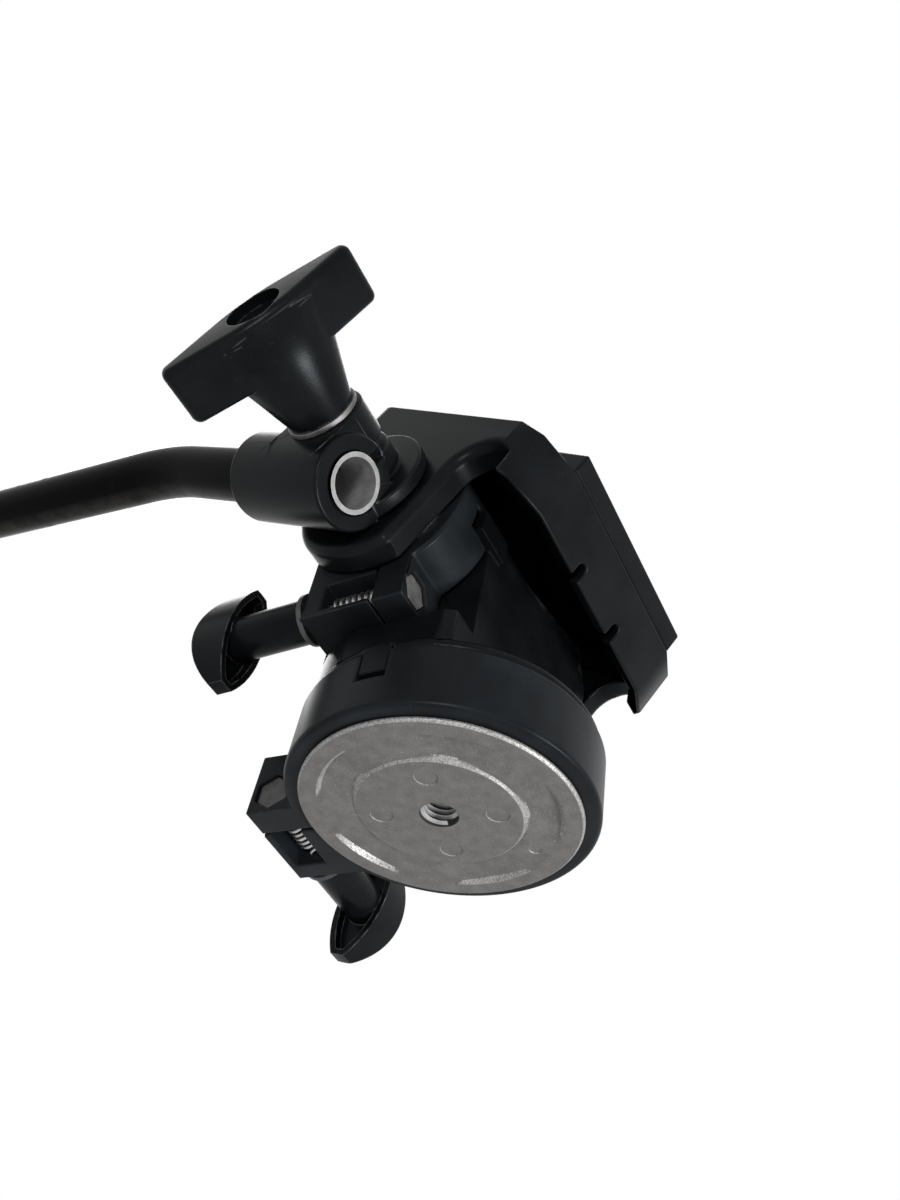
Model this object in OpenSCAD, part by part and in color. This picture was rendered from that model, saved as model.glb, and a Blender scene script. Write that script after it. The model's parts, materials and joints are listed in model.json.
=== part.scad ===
// Small fluid video head: a pan housing turns on a bare metal base, a cradle tilts on the housing,
// and two split bands with sprung bolts and winged knobs lock the two motions.
// Millimetres, +Z up, pan axis on Z, tilt axis along X, the operator stands on the +Y side.

/* [Base] */
// Radius of the bare metal base plate
base_r = 35; // [34.6:0.1:36]
// Thread for the tripod's stud, three eighths of an inch
stud_d = 9.525; // [9.4:0.025:9.6]
// Depth of that thread
stud_depth = 11; // [9:0.5:11]
// Radius of the turned rim that the pan band grips
rim_r = 33.5; // [33:0.1:33.8]
// Radius of the steel pan spindle
spindle_r = 6; // [5:0.25:6.5]

/* [Pan clamp] */
// Thickness of the pan band
pan_band_t = 5.4; // [4.8:0.1:6]
// Height of the pan band
pan_band_h = 18.4; // [17.5:0.1:19]
// Distance from the pan axis to its bolt
pan_bolt_reach = 45.1; // [44.5:0.1:47]
// How far the pan bolt's head lies before the foot of that distance
pan_bolt_lead = 8.3; // [7:0.1:9]
// Turn of the pan bolt from the tilt axis
pan_bolt_turn = 3.9; // [0:0.1:8]

/* [Tilt] */
// Tilt axis behind the pan axis
tilt_back = 5.8; // [4:0.1:7]
// Height of the tilt axis
tilt_up = 69; // [68:0.1:71]
// Forward tilt in the photographed pose
rest_tilt = 34.6; // [25:0.1:40]
// Radius of the metal hub that the tilt band grips
hub_r = 18; // [17:0.1:18.5]
// Thickness of the tilt band
tilt_band_t = 4.8; // [4.2:0.1:5.2]
// Width of the tilt band
tilt_band_w = 16.3; // [15.8:0.1:16.6]
// Distance from the tilt axis to its bolt
tilt_bolt_reach = 28; // [27:0.1:28.5]
// How far the tilt bolt's head lies before the foot of that distance
tilt_bolt_lead = 10.8; // [9.5:0.1:12]

/* [Clamp hardware] */
// Diameter of the clamp bolts
bolt_d = 5; // [4.5:0.1:5.2]
// Width across the flats of their heads
hex_flats = 8.8; // [8:0.1:9.2]
// Length of the ear that holds the head
ear_len = 9; // [8:0.1:10]
// Gap where a band is split
split_gap = 0.8; // [0.6:0.1:1.5]
// Length of the trough round a spring
trough_len = 20.2; // [19.5:0.1:22]
// Thickness of the trough's end wall
trough_end = 5.8; // [5:0.1:6]
// Curls of a clamp spring
spring_curls = 7; // [5:1:7]
// Wire of a clamp spring
spring_wire = 1.2; // [1:0.1:1.25]
// Diameter of a lock knob's stem
stem_d = 12; // [11:0.1:13]
// Length of a lock knob's stem
stem_len = 21; // [18:0.5:24]
// Span of a lock knob's wing
wing_span = 34; // [30:0.5:36]

/* [Housing] */
// Radius of the drum that carries the tilt axle
drum_r = 22.4; // [22:0.1:22.8]
// Radius of the tilt axle
axle_r = 5; // [4:0.1:5.5]

/* [Cradle] */
// Half the cradle's width along the tilt axis
cradle_half = 50.3; // [49.5:0.1:52]
// Thickness of its two arms
arm_t = 8; // [7.5:0.1:8]
// Radius of the arms' lower ends
arm_r = 23; // [22:0.1:24]
// Half the width of an arm
arm_half = 19.1; // [18:0.1:20]
// Front wall ahead of the tilt axis
deck_front = 39.8; // [38.5:0.1:42]
// Back wall behind the tilt axis
deck_rear = 32; // [30:0.1:33]
// Top of the deck above the tilt axis
deck_top = 31.6; // [31:0.1:33]
// Bottom of the front wall above the tilt axis
skirt_low = 15.6; // [15:0.1:17]
// Half the length of the raised camera plate
plate_half = 34.7; // [33:0.1:35]
// Thickness of the camera plate
plate_t = 6.3; // [5.5:0.1:7.5]

/* [Pan bar] */
// Diameter of the bar's tube
tube_d = 15.3; // [14.5:0.1:15.5]
// Tube's straight run before the bend
tube_run = 68; // [64:0.5:75]
// Angle of the bend
bend_angle = 19; // [12:0.5:24]
// Tube's run after the bend
tube_rest = 205; // [180:1:230]
// Droop of the bar below the deck's plane
bar_droop = 6; // [0:0.5:10]
// Length of the grip
grip_len = 112; // [95:1:125]
// Span of the T knob
t_span = 53; // [50:0.5:56]

/* [Hidden] */
$fn = 72;

// Clearances
run_fit = 0.05;
free_gap = 0.3;
// Round bolts, studs and threads that pass through
pass_gap = 0.2;
// Round heads and ends that turn in a pocket
turn_gap = 0.5;
// How far a cutting solid runs past what it cuts
cut = 1;
// Longer than any piece that it cuts across
clear_len = 3 * cradle_half;
// Chamfer on moulded edges
edge = 0.8;

// Base and pan heights
lip_h = 1.2;
pan_band_z = lip_h + free_gap;
band_top = pan_band_z + pan_band_h;
rim_drop = 1.2;
rim_top = band_top - rim_drop;
rim_wall = 5;
cup_r = rim_r - rim_wall;
cup_floor = 5;
boss_r = 12;
slip_t = 1.2;
slip_gap_out = 2;
slip_gap_in = 1;
drum_floor = cup_floor + slip_t + free_gap;
boss_top = 15;
boss_gap = 0.8;
boss_over = 1;
pad_r = 20.4;
recess_r = 30.3;
recess_depth = 1.4;
pad_slope = 1.5;
recess_slope = 1;
base_edge = 0.6;
mark_ring = 14.5;
mark_r = 2.9;
mark_depth = 0.3;
mark_turn = 15;
stray_mark_ring = 25.8;
stray_mark_r = 1.6;
stray_mark_turn = -40;
flange_z = band_top + free_gap;
flange_h = 3;
pan_band_r = rim_r + run_fit + pan_band_t;
flange_step = 1.2;
flange_r = pan_band_r - flange_step;
pedestal_step = 0.4;
spindle_out = 14;
spindle_top = flange_z + spindle_out;
nut_wall = 4;
nut_r = spindle_r + nut_wall;
nut_room = 1;
nut_h = 5;
nut_z = spindle_top - nut_h;
core_h = 12;
bush_lift = 1.2;
bush_foot = boss_top + bush_lift;
shelf_gap = 2;
lug_gap = 0.6;
lug_step = 1;
lug_short = 2;

// Tilt stations along X
arm_in = cradle_half - arm_t;
band_gap = 0.9;
tilt_band_x = -arm_in + band_gap;
hub_short = 0.1;
hub_end = tilt_band_x + tilt_band_w - hub_short;
drum_gap_near = 0.7;
drum_near = hub_end + drum_gap_near;
drum_gap_far = 1.1;
drum_far = arm_in - drum_gap_far;
trunnion_r = 12;
trunnion_len = 15;
trunnion_gap = 0.4;
axle_sink = 10;
bush_t = 3;
bush_len = 10;
rosette_r = 12;
rosette_h = 0.5;
bar_stud_r = 3;
bar_stud_depth = 12;

// Bolt stations, measured from the head's seat along the bolt
trough_from = ear_len + split_gap;
trough_to = trough_from + trough_len;
spring_from = ear_len;
spring_to = trough_to - trough_end;
washer_t = 1.5;
washer_out = 1;
knob_gap = 0.2;
stem_from = trough_to + washer_t + knob_gap;
head_from = stem_from + stem_len;
bolt_in_head = 4;
bolt_end = head_from + bolt_in_head;
bolt_height = 0.36;
hex_h = 4;
hex_sink = 5;
ear_out = 6;
// Foot of an ear, as a share of the band's inner radius
ear_root = 0.45;
trough_wall = 1.7;
back_wall = 3;
spring_room = 1.4;
coil_r = bolt_d / 2 + free_gap + spring_wire / 2;
insert_wall = 1.5;
insert_d = stem_d - 2 * insert_wall;
insert_len = 8;
wing_w = 15;
wing_bow = 22;
wing_h = 11.5;
wing_fall = 7;
wing_wall = 1.8;
wing_hollow = 3;
notch_w = 8;
notch_deep = 9;
notch_at = 176;
pan_knob_turn = 14;
tilt_knob_turn = 90;

// Clamp springs
spring_len = spring_to - spring_from;
rings_per_curl = 8;
sides = 6;
end_run = spring_wire;
spring_steps = spring_curls * rings_per_curl;
spring_rise = spring_len - 2 * end_run;

// Cradle walls
side_h = 9.2;
side_low = deck_top - side_h;
front_return = 8;
skirt_t = 3.5;
deck_t = 4;
front_in = 0.7;
shoulder_in = 4;
shoulder_back = 4.8;
flank_back = 10.5;
deck_corner = 7;
corner_step = 15;
arm_fillet = 10;
arm_sink = 1;
wall_notch_x = 11.7;
wall_notch_r = 1.6;

// Quick release
pocket_half = 26;
pocket_front = 30;
pocket_rear = 12;
pocket_floor = 1.6;
dovetail_lean = 0.4;
block_step = 0.4;
block_front = deck_front - block_step;
block_rear = 18;
shelf_h = 1.5;
shelf_out = 6.5;
slide_gap = 0.2;
plate_lip = 2.2;
plate_step = 2;
pad_in = 1.5;
pad_hole_gap = 1;
screw_y = (pocket_rear - pocket_front) / 2;
camera_thread = 6.35;
pad_t = 1.2;
screw_out = 5.5;
screw_head_r = 7;
screw_head_h = 2.4;
screw_sink = 0.6;
neck_cut = 0.5;
neck_over = 0.2;
screw_neck = plate_t - pocket_floor + plate_lip + pad_t + neck_over;
lever_in = 6;
lever_x = plate_half - lever_in;
lever_r = 4.5;
lever_gap = 0.8;
lever_back = 0.8;
lever_y = block_rear + lever_back;
pin_out = 0.6;
lever_pin_r = 1.5;
lever_len = 44;
lever_w = 4.5;
lever_h = plate_t - shelf_h - free_gap;

// Pan bar
sleeve_r = 12;
inner_face = -(cradle_half + rosette_h + free_gap);
bar_x = inner_face - sleeve_r;
bar_drop = 11;
bar_lead = 13.1;
tube_wall = 1.5;
sleeve_from = -12.6;
sleeve_len = 36;
bend_r = 80;
bend_lap = 1;
bend_draw = 0.1;
jaw_face = bar_x - sleeve_r;
jaw_slot = 2.6;
outer_jaw_r = 10.5;
inner_jaw_r = 16.5;
inner_jaw_t = 4;
bar_washer_t = 1.5;
bar_washer_r = 9.6;
t_base = jaw_face - bar_washer_t;
t_stem_h = 15;
t_bar_h = 15.5;
t_foot_r = 8.8;
t_neck_r = 11.4;
t_stud_in_bar = 4;
t_stud_sink = t_stem_h + t_stud_in_bar;
t_stud_short = 1;
t_recess = 3;
t_recess_r = 7.2;
t_turn = 126.4;
t_bow = 43;
t_bow_r = 53;
t_width = 40;
grip_r = 14;
grip_cap = 3;

// Placement

module tilted() translate([0, tilt_back, tilt_up]) rotate([rest_tilt, 0, 0]) children();

module on_tilt_axis() translate([0, tilt_back, tilt_up]) rotate([0, 90, 0]) children();

module bar_frame() translate([0, tilt_back, tilt_up]) rotate([rest_tilt - bar_droop, 0, 0]) children();

// A band's own frame: axis on z, bolt along x at y = reach, open side of the trough at low z
module pan_band_frame() translate([0, 0, pan_band_z]) rotate([0, 0, pan_bolt_turn]) children();

module tilt_band_frame()
  translate([tilt_band_x, tilt_back, tilt_up]) rotate([-90, 0, 90]) mirror([0, 0, 1]) children();

// A bolt's own frame: seat of the head at the origin, knob along +z
module pan_bolt_frame()
  rotate([0, 0, pan_bolt_turn])
    translate([-pan_bolt_lead, pan_bolt_reach, pan_band_z + pan_band_h * bolt_height])
      rotate([0, 90, 0]) children();

module tilt_bolt_frame()
  translate([tilt_band_x + tilt_band_w * bolt_height, tilt_back, tilt_up])
    translate([0, -tilt_bolt_lead, -tilt_bolt_reach]) rotate([-90, 0, 0]) children();

// Disc with a small chamfer round both edges
module soft_disc(r, h) {
  rotate_extrude() polygon([[0, 0], [r - edge, 0], [r, edge], [r, h - edge], [r - edge, h], [0, h]]);
}

module ring(outer, inner, h) {
  difference() {
    cylinder(r = outer, h = h);
    translate([0, 0, -cut]) cylinder(r = inner, h = h + 2 * cut);
  }
}

// Base body

module base_plate() {
  color("silver") difference() {
    rotate_extrude() polygon([
      [stud_d / 2, 0], [pad_r, 0], [pad_r + pad_slope, recess_depth],
      [recess_r - recess_slope, recess_depth], [recess_r, 0],
      [base_r - base_edge, 0], [base_r, base_edge], [base_r, lip_h], [rim_r, lip_h],
      [rim_r, rim_top], [cup_r, rim_top], [cup_r, cup_floor], [boss_r, cup_floor],
      [boss_r, boss_top], [spindle_r, boss_top], [spindle_r, stud_depth], [stud_d / 2, stud_depth]
    ]);
    // Four round marks on the pad and a stray one in the recess
    for (a = [0 : 90 : 270])
      rotate([0, 0, mark_turn + a]) translate([mark_ring, 0, -cut])
        cylinder(r = mark_r, h = cut + mark_depth);
    rotate([0, 0, stray_mark_turn]) translate([stray_mark_ring, 0, 0])
      cylinder(r = stray_mark_r, h = recess_depth + mark_depth);
  }
}

module pan_spindle() {
  color("gray") translate([0, 0, stud_depth]) cylinder(r = spindle_r, h = spindle_top - stud_depth);
}

module pan_nut() {
  color("gray") translate([0, 0, nut_z]) difference() {
    cylinder(r = nut_r, h = nut_h, $fn = 6);
    translate([0, 0, -cut]) cylinder(r = spindle_r, h = nut_h + 2 * cut);
  }
}

module pan_slip_ring() {
  color("ivory") translate([0, 0, cup_floor]) ring(cup_r - slip_gap_out, boss_r + slip_gap_in, slip_t);
}

// Pan body

module pedestal_plan() {
  intersection() {
    circle(r = flange_r - pedestal_step);
    translate([-base_r, tilt_back - drum_r]) square([2 * base_r, 2 * drum_r]);
  }
}

module pan_housing() {
  color("dimgray") difference() {
    union() {
      translate([0, 0, flange_z]) soft_disc(flange_r, flange_h);
      // Shelf below the tilt clamp, then the pedestal up to the drum
      translate([0, 0, flange_z])
        linear_extrude(tilt_up - tilt_bolt_reach - ear_out - shelf_gap - flange_z) pedestal_plan();
      intersection() {
        translate([0, 0, flange_z]) linear_extrude(tilt_up - flange_z) pedestal_plan();
        translate([drum_near, -clear_len / 2, 0]) cube(clear_len);
      }
      translate([drum_near, 0, 0]) on_tilt_axis() soft_disc(drum_r, drum_far - drum_near);
      // Lug that fills the pan band's notch
      rotate([0, 0, pan_bolt_turn + notch_at])
        translate([rim_r + lug_gap, -notch_w / 2 + free_gap, band_top - notch_deep + lug_short])
          cube([pan_band_t - lug_step, notch_w - 2 * free_gap, notch_deep]);
      // Lug that fills the tilt band's notch
      tilt_band_frame() rotate([0, 0, notch_at])
        translate([hub_r + lug_gap, -notch_w / 2 + free_gap, tilt_band_w - notch_deep + lug_short])
          cube([tilt_band_t + lug_step, notch_w - 2 * free_gap, notch_deep + 2 * lug_short]);
    }
    // Bush's seat and the well round the spindle's nut
    cylinder(r = spindle_r + bush_t, h = nut_z);
    translate([0, 0, nut_z - free_gap]) cylinder(r = nut_r + nut_room, h = core_h);
    // Tilt axle's bore with seats for its bushes and for the far trunnion
    translate([-clear_len / 2, 0, 0]) on_tilt_axis() cylinder(r = axle_r + turn_gap, h = clear_len);
    for (x = [drum_near - cut, drum_far - trunnion_len - bush_len])
      translate([x, 0, 0]) on_tilt_axis() cylinder(r = axle_r + bush_t, h = bush_len + cut);
    translate([drum_far - trunnion_len - trunnion_gap, 0, 0]) on_tilt_axis()
      cylinder(r = trunnion_r + free_gap, h = trunnion_len + 2 * cut);
  }
}

// Drum that drags in the damping grease of the base's cup
module pan_drag_drum() {
  color("gray") difference() {
    translate([0, 0, drum_floor]) cylinder(r = cup_r - free_gap, h = flange_z - drum_floor);
    cylinder(r = boss_r + boss_gap, h = boss_top + boss_over);
    cylinder(r = spindle_r + bush_t, h = flange_z + cut);
  }
}

module pan_bush() {
  color("goldenrod") translate([0, 0, bush_foot])
    ring(spindle_r + bush_t, spindle_r + run_fit, nut_z - free_gap - bush_foot);
}

module tilt_bushes() {
  color("goldenrod") for (x = [drum_near, drum_far - trunnion_len - bush_len])
    translate([x, 0, 0]) on_tilt_axis() ring(axle_r + bush_t, axle_r + run_fit, bush_len - trunnion_gap);
}

// A split band with its two ears, seen along the band's own axis
module clamp_band(inner, thick, width, reach, lead) {
  outer = inner + thick;
  out = reach + ear_out;
  root = inner * ear_root;
  bolt_z = width * bolt_height;
  difference() {
    union() {
      soft_disc(outer, width);
      translate([-lead, root, 0]) cube([ear_len, out - root, width]);
      translate([trough_from - lead, root, 0]) cube([trough_len, out - root, width]);
    }
    translate([0, 0, -cut]) cylinder(r = inner, h = width + 2 * cut);
    // Split beside the head's ear
    translate([ear_len - lead, 0, -cut]) cube([split_gap, out + cut, width + 2 * cut]);
    // Open chamber of the trough
    translate([ear_len - lead, reach - coil_r - spring_room, -cut])
      cube([spring_to - ear_len, coil_r + spring_room + ear_out - trough_wall, width - back_wall + cut]);
    // Bolt hole and the head's pocket
    translate([-lead - cut, reach, bolt_z]) rotate([0, 90, 0]) {
      cylinder(r = bolt_d / 2 + pass_gap, h = trough_to + 2 * cut);
      cylinder(d = hex_flats / cos(30) + turn_gap, h = cut + hex_sink, $fn = 6);
    }
    // Key notch
    rotate([0, 0, notch_at]) translate([inner - cut, -notch_w / 2, width - notch_deep])
      cube([thick + 2 * cut, notch_w, notch_deep + cut]);
  }
}

module pan_clamp_band() {
  color("black") pan_band_frame()
    clamp_band(rim_r + run_fit, pan_band_t, pan_band_h, pan_bolt_reach, pan_bolt_lead);
}

module tilt_clamp_band() {
  color("black") tilt_band_frame()
    clamp_band(hub_r + run_fit, tilt_band_t, tilt_band_w, tilt_bolt_reach, tilt_bolt_lead);
}

module clamp_bolt() {
  color("lightgray") {
    translate([0, 0, hex_sink - hex_h]) cylinder(d = hex_flats / cos(30), h = hex_h, $fn = 6);
    translate([0, 0, hex_sink]) cylinder(d = bolt_d, h = bolt_end - hex_sink);
  }
}

module pan_clamp_bolt() pan_bolt_frame() clamp_bolt();

module tilt_clamp_bolt() tilt_bolt_frame() clamp_bolt();

module clamp_washer()
  color("gray") translate([0, 0, trough_to])
    ring(stem_d / 2 + washer_out, bolt_d / 2 + pass_gap, washer_t);

module pan_clamp_washer() pan_bolt_frame() clamp_washer();

module tilt_clamp_washer() tilt_bolt_frame() clamp_washer();

// Spring: one tube swept along a helix whose ends run straight onto the faces they meet

function spring_centre(i) = let (a = 360 * i / rings_per_curl)
  [coil_r * cos(a), coil_r * sin(a), spring_from + end_run + spring_rise * i / spring_steps];

function spring_path() = concat(
  [[coil_r, 0, spring_from]],
  [for (i = [0 : spring_steps]) spring_centre(i)],
  [let (a = 360 * spring_steps / rings_per_curl) [coil_r * cos(a), coil_r * sin(a), spring_to]]);

function unit(v) = v / norm(v);

function spring_ring(path, i) = let (
    last = len(path) - 1,
    way = i == 0 || i == last ? [0, 0, 1] : unit(path[i + 1] - path[i - 1]),
    out = unit([path[i][0], path[i][1], 0]),
    side = unit(cross(way, out)),
    up = cross(side, way))
  [for (k = [0 : sides - 1]) let (a = 360 * k / sides)
    path[i] + spring_wire / 2 * (up * cos(a) + side * sin(a))];

function spring_gap() = let (p = [for (i = [0 : spring_steps]) spring_centre(i)])
  min([for (i = [0 : spring_steps]) for (j = [i + rings_per_curl / 2 : spring_steps]) norm(p[i] - p[j])])
  - spring_wire;

module clamp_spring() {
  path = spring_path();
  n = len(path);
  points = [for (i = [0 : n - 1]) each spring_ring(path, i)];
  skin = [for (i = [0 : n - 2]) for (k = [0 : sides - 1]) let (
      a = i * sides + k,
      b = i * sides + (k + 1) % sides)
    each [[a, b, a + sides], [b, b + sides, a + sides]]];
  lid = [for (k = [1 : sides - 2]) each [
    [0, k + 1, k],
    [(n - 1) * sides, (n - 1) * sides + k, (n - 1) * sides + k + 1]]];
  color("lightgray") polyhedron(points, concat(skin, lid));
}

module pan_clamp_spring() pan_bolt_frame() clamp_spring();

module tilt_clamp_spring() tilt_bolt_frame() clamp_spring();

echo("least gap of a spring to itself", spring_gap());

// Lock knobs

module wing_plan(inset) {
  side_r = wing_bow + wing_w / 2 - inset;
  intersection() {
    circle(d = wing_span - 2 * inset);
    translate([0, -wing_bow]) circle(r = side_r);
    translate([0, wing_bow]) circle(r = side_r);
  }
}

// Wing with a hollow foot and a crown that falls towards both tips
module wing() {
  crown = (pow(wing_span / 2, 2) + pow(wing_fall, 2)) / (2 * wing_fall);
  intersection() {
    difference() {
      linear_extrude(wing_h) wing_plan(0);
      translate([0, 0, -cut]) linear_extrude(wing_hollow + cut) difference() {
        wing_plan(wing_wall);
        circle(d = stem_d);
      }
    }
    translate([0, 0, wing_h - crown]) rotate([90, 0, 0])
      cylinder(r = crown, h = wing_span, center = true);
  }
}

module lock_knob(turn) {
  color("black") rotate([0, 0, turn]) difference() {
    union() {
      translate([0, 0, stem_from]) cylinder(d = stem_d, h = stem_len);
      translate([0, 0, head_from]) wing();
    }
    translate([0, 0, stem_from - cut]) {
      cylinder(r = bolt_d / 2 + run_fit, h = bolt_end + turn_gap - stem_from + cut);
      cylinder(d = insert_d, h = insert_len + cut);
    }
  }
}

module pan_lock_knob() pan_bolt_frame() lock_knob(pan_knob_turn);

module tilt_lock_knob() tilt_bolt_frame() lock_knob(tilt_knob_turn);

module knob_nut()
  color("goldenrod") translate([0, 0, stem_from]) ring(insert_d / 2, bolt_d / 2 + run_fit, insert_len);

module pan_knob_nut() pan_bolt_frame() knob_nut();

module tilt_knob_nut() tilt_bolt_frame() knob_nut();

// Tilt body

module deck_plan(inset) {
  x0 = cradle_half - inset;
  front = deck_front - inset;
  rear = deck_rear - inset;
  c = deck_corner;
  polygon(concat(
    [[-plate_half + front_in, -front], [plate_half - front_in, -front]],
    [[x0 - shoulder_in, -front + shoulder_back], [x0, -front + flank_back], [x0, rear - c]],
    [for (a = [0 : corner_step : 90]) [x0 - c + c * cos(a), rear - c + c * sin(a)]],
    [for (a = [90 : corner_step : 180]) [-x0 + c + c * cos(a), rear - c + c * sin(a)]],
    [[-x0, -front + flank_back], [-x0 + shoulder_in, -front + shoulder_back]]));
}

module arm_plan() {
  fillet = arm_fillet;
  difference() {
    union() {
      intersection() {
        circle(r = arm_r);
        square([2 * arm_half, 3 * arm_r], center = true);
      }
      translate([-arm_half, 0]) square([2 * arm_half, deck_top - arm_sink]);
      translate([-arm_half - fillet, side_low - fillet])
        square([2 * (arm_half + fillet), deck_top - arm_sink - side_low + fillet]);
    }
    for (s = [-1, 1]) translate([s * (arm_half + fillet), side_low - fillet]) circle(r = fillet);
  }
}

module arm(side) {
  x = side < 0 ? -cradle_half : arm_in;
  translate([x, 0, 0]) rotate([90, 0, 90]) linear_extrude(arm_t) arm_plan();
}

module cradle() {
  color("dimgray") tilted() difference() {
    union() {
      difference() {
        translate([0, 0, skirt_low]) linear_extrude(deck_top - skirt_low) deck_plan(0);
        translate([0, 0, skirt_low - cut])
          linear_extrude(deck_top - deck_t - skirt_low + cut) deck_plan(skirt_t);
        // Sides and back stand higher than the front wall
        translate([-clear_len / 2, -deck_front + front_return, skirt_low - cut])
          cube([clear_len, clear_len, side_low - skirt_low + cut]);
        // Two round-ended notches in the front wall
        for (x = [-wall_notch_x, wall_notch_x])
          translate([x, -deck_front - cut, skirt_low + 2 * wall_notch_r]) rotate([-90, 0, 0]) {
            cylinder(r = wall_notch_r, h = 2 * skirt_t);
            translate([-wall_notch_r, 0, 0]) cube([2 * wall_notch_r, 4 * wall_notch_r, 2 * skirt_t]);
          }
      }
      intersection() {
        union() {
          arm(-1);
          arm(1);
        }
        translate([0, 0, -arm_r - cut]) linear_extrude(arm_r + deck_top + cut) deck_plan(0);
      }
      // Rosette pads that take the bar's clamp on either side
      for (s = [-1, 1]) rotate([0, s * 90, 0]) translate([0, 0, cradle_half - cut])
        cylinder(r = rosette_r, h = cut + rosette_h);
    }
    rotate([0, 90, 0]) cylinder(r = bar_stud_r, h = clear_len, center = true);
  }
}

module tilt_hub() {
  color("silver") difference() {
    translate([-arm_in, 0, 0]) on_tilt_axis() cylinder(r = hub_r, h = hub_end + arm_in);
    translate([hub_end - axle_sink, 0, 0]) on_tilt_axis() cylinder(r = axle_r, h = axle_sink + cut);
    translate([-arm_in - cut, 0, 0]) on_tilt_axis()
      cylinder(r = bar_stud_r, h = bar_stud_depth - arm_t + cut);
  }
}

module tilt_trunnion() {
  near = drum_far - trunnion_len;
  color("silver") difference() {
    translate([near, 0, 0]) on_tilt_axis() cylinder(r = trunnion_r, h = arm_in - near);
    translate([near - cut, 0, 0]) on_tilt_axis() cylinder(r = axle_r, h = axle_sink + cut);
    translate([arm_in - bar_stud_depth + arm_t, 0, 0]) on_tilt_axis()
      cylinder(r = bar_stud_r, h = clear_len);
  }
}

module tilt_axle() {
  from = hub_end - axle_sink;
  to = drum_far - trunnion_len + axle_sink;
  color("gray") translate([from, 0, 0]) on_tilt_axis() cylinder(r = axle_r, h = to - from);
}

// Quick release: a block with a dovetail pocket, its plate, pad, camera screw and lever

module dovetail(grow, h) {
  front = -pocket_front - grow;
  rear = pocket_rear + grow;
  lean = h * dovetail_lean;
  rotate([90, 0, 90]) translate([0, 0, -pocket_half - grow]) linear_extrude(2 * (pocket_half + grow))
    polygon([[front, 0], [rear, 0], [rear - lean, h], [front + lean, h]]);
}

module quick_block() {
  color("black") tilted() difference() {
    translate([-plate_half, -block_front, deck_top]) {
      cube([2 * plate_half, block_front + block_rear, plate_t]);
      cube([2 * plate_half, block_front + block_rear + shelf_out, shelf_h]);
    }
    translate([0, 0, deck_top + pocket_floor]) dovetail(slide_gap, plate_t);
    translate([lever_x, lever_y, deck_top + shelf_h]) cylinder(r = lever_r + lever_gap, h = plate_t);
    translate([lever_x, lever_y, deck_top - cut]) cylinder(r = lever_pin_r, h = plate_t);
  }
}

module camera_plate() {
  color("black") tilted() translate([0, 0, deck_top + pocket_floor]) difference() {
    union() {
      dovetail(0, plate_t - pocket_floor);
      translate([-pocket_half, -pocket_front + plate_step, plate_t - pocket_floor])
        cube([2 * pocket_half, pocket_front + pocket_rear - 2 * plate_step, plate_lip]);
    }
    translate([0, screw_y, -cut])
      cylinder(r = screw_head_r + turn_gap, h = cut + screw_head_h + screw_sink);
    translate([0, screw_y, -cut]) cylinder(d = camera_thread + 2 * pass_gap, h = clear_len);
  }
}

module plate_pad() {
  step = plate_step + pad_in;
  color("black") tilted() translate([0, 0, deck_top + plate_t + plate_lip]) difference() {
    translate([-pocket_half + pad_in, -pocket_front + step, 0])
      cube([2 * (pocket_half - pad_in), pocket_front + pocket_rear - 2 * step, pad_t]);
    translate([0, screw_y, -cut]) cylinder(d = camera_thread + 2 * pad_hole_gap, h = pad_t + 2 * cut);
  }
}

module camera_screw() {
  color("lightgray") tilted() translate([0, screw_y, deck_top + pocket_floor + free_gap]) {
    cylinder(r = screw_head_r, h = screw_head_h);
    cylinder(d = camera_thread - 2 * neck_cut, h = screw_neck);
    translate([0, 0, screw_neck]) cylinder(d = camera_thread, h = screw_out);
  }
}

module quick_lever() {
  color("black") tilted() translate([lever_x, lever_y, deck_top + shelf_h + free_gap]) difference() {
    union() {
      cylinder(r = lever_r, h = lever_h);
      translate([-lever_len, lever_r - lever_w, 0]) cube([lever_len, lever_w, lever_h]);
      translate([-lever_len, lever_r - lever_w / 2, 0]) cylinder(d = lever_w, h = lever_h);
    }
    translate([0, 0, -cut]) cylinder(r = lever_pin_r + run_fit, h = lever_h + 2 * cut);
  }
}

module lever_pin() {
  color("gray") tilted() translate([lever_x, lever_y, deck_top])
    cylinder(r = lever_pin_r, h = plate_t + pin_out);
}

// Pan bar

module bar_clamp() {
  color("dimgray") bar_frame() difference() {
    union() {
      translate([bar_x, sleeve_from, -bar_drop]) rotate([-90, 0, 0])
        cylinder(r = sleeve_r, h = sleeve_len);
      // Outer jaw under the knob and wider inner jaw against the arm
      translate([jaw_face, 0, 0]) rotate([0, 90, 0]) cylinder(r = outer_jaw_r, h = bar_x - jaw_face);
      translate([bar_x, 0, 0]) rotate([0, 90, 0]) cylinder(r = outer_jaw_r, h = inner_face - bar_x);
      translate([inner_face - inner_jaw_t, 0, 0]) rotate([0, 90, 0])
        cylinder(r = inner_jaw_r, h = inner_jaw_t);
      translate([jaw_face, -outer_jaw_r, -bar_drop])
        cube([inner_face - jaw_face, 2 * outer_jaw_r, bar_drop]);
    }
    translate([bar_x, sleeve_from - cut, -bar_drop]) rotate([-90, 0, 0])
      cylinder(r = tube_d / 2 + run_fit, h = sleeve_len + 2 * cut);
    translate([bar_x - jaw_slot / 2, -clear_len / 2, -bar_drop]) cube([jaw_slot, clear_len, clear_len]);
    translate([bar_x, 0, 0]) rotate([0, 90, 0])
      cylinder(r = bar_stud_r + pass_gap, h = clear_len, center = true);
  }
}

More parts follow.
